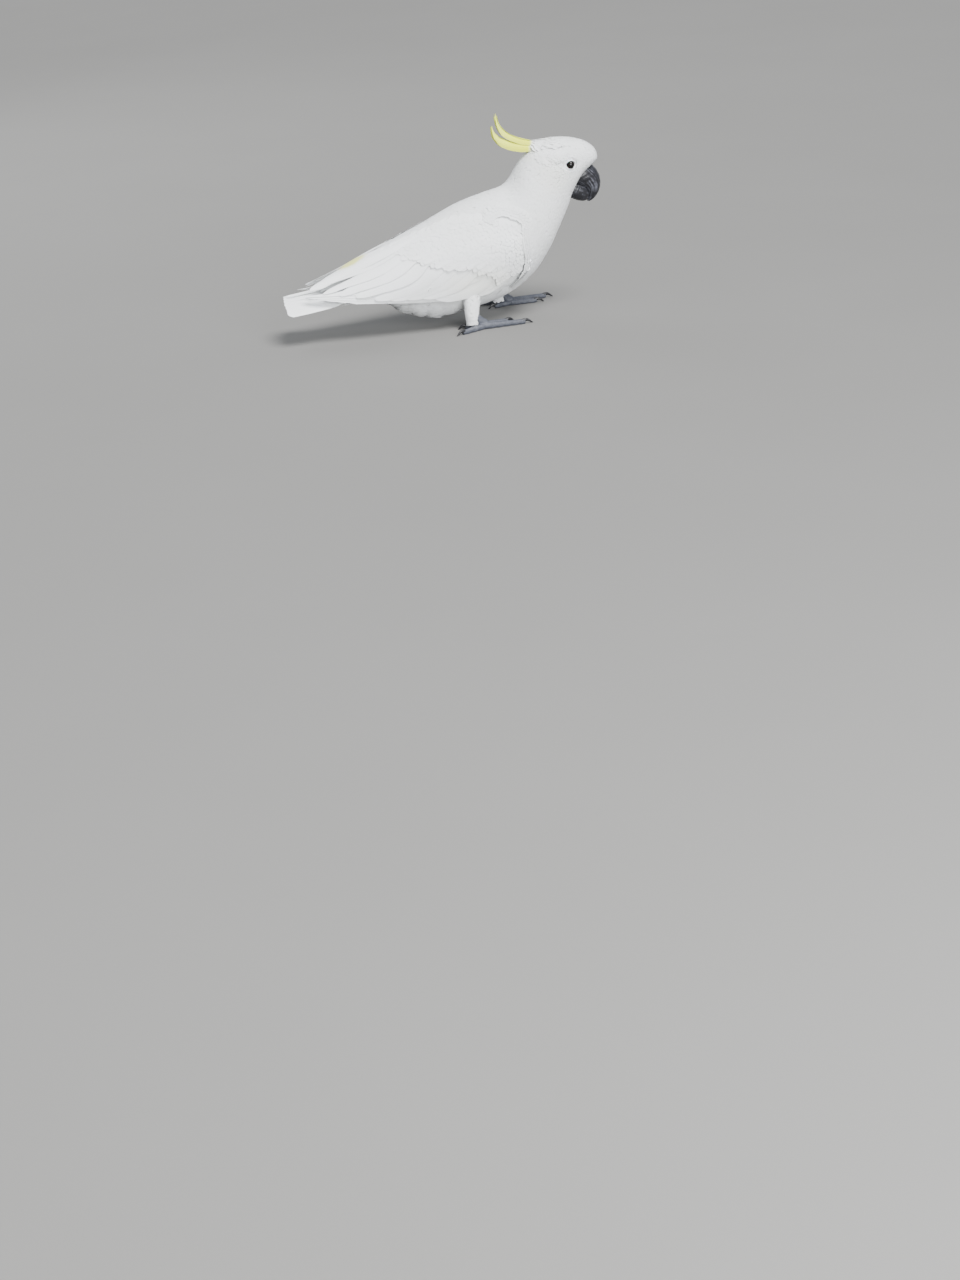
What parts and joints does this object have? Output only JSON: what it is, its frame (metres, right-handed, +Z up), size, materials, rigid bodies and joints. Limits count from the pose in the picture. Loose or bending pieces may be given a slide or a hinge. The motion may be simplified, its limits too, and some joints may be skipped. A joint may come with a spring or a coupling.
{
  "type": "sulphur-crested cockatoo",
  "caption": "White cockatoo standing in mid-stride, level back, folded wings, yellow crest laid back with tips curling up, dark hooked bill, zygodactyl feet.",
  "frame": {"origin": "on the floor, under the middle of the bird's length and halfway between its two outermost hind claws, in the plane that parts its left side from its right", "axes": "+X forwards, from the tail to the bill; +Y to the bird's left; +Z up from the floor it stands on"},
  "size_m": [0.4395, 0.1446, 0.2643],
  "materials": {
    "body_plumage": "matte white plumage over flesh",
    "loose_plumage": "matte white feathers",
    "flight_feathers": "smooth matte white vanes",
    "yellow_plumage": "matte lemon-yellow feathers",
    "bill_horn": "dark horn, worn glossy with a powdery bloom",
    "claw_horn": "black horn, satin",
    "foot_skin": "matte scaly grey skin",
    "eye_glass": "wet gloss"
  },
  "bodies": {
    "root": {"breast": "body_plumage", "claw_inner_front_left": "claw_horn", "claw_inner_front_right": "claw_horn", "claw_inner_hind_left": "claw_horn", "claw_inner_hind_right": "claw_horn", "claw_outer_front_left": "claw_horn", "claw_outer_front_right": "claw_horn", "claw_outer_hind_left": "claw_horn", "claw_outer_hind_right": "claw_horn", "crest_feather_1_left": "yellow_plumage", "crest_feather_1_right": "yellow_plumage", "crest_feather_2_left": "yellow_plumage", "crest_feather_2_right": "yellow_plumage", "crest_feather_3_left": "yellow_plumage", "crest_feather_3_right": "yellow_plumage", "eye_left": "eye_glass", "eye_right": "eye_glass", "head": "body_plumage", "lower_bill": "bill_horn", "neck": "body_plumage", "rump": "loose_plumage", "shank_left": "body_plumage", "shank_right": "body_plumage", "tail": "flight_feathers", "tarsus_left": "foot_skin", "tarsus_right": "foot_skin", "toe_inner_front_left": "foot_skin", "toe_inner_front_right": "foot_skin", "toe_inner_hind_left": "foot_skin", "toe_inner_hind_right": "foot_skin", "toe_outer_front_left": "foot_skin", "toe_outer_front_right": "foot_skin", "toe_outer_hind_left": "foot_skin", "toe_outer_hind_right": "foot_skin", "trunk": "body_plumage", "upper_bill": "bill_horn", "wing_left": "flight_feathers", "wing_right": "flight_feathers", "wing_tip_left": "flight_feathers", "wing_tip_right": "flight_feathers"}
  },
  "joints": []
}
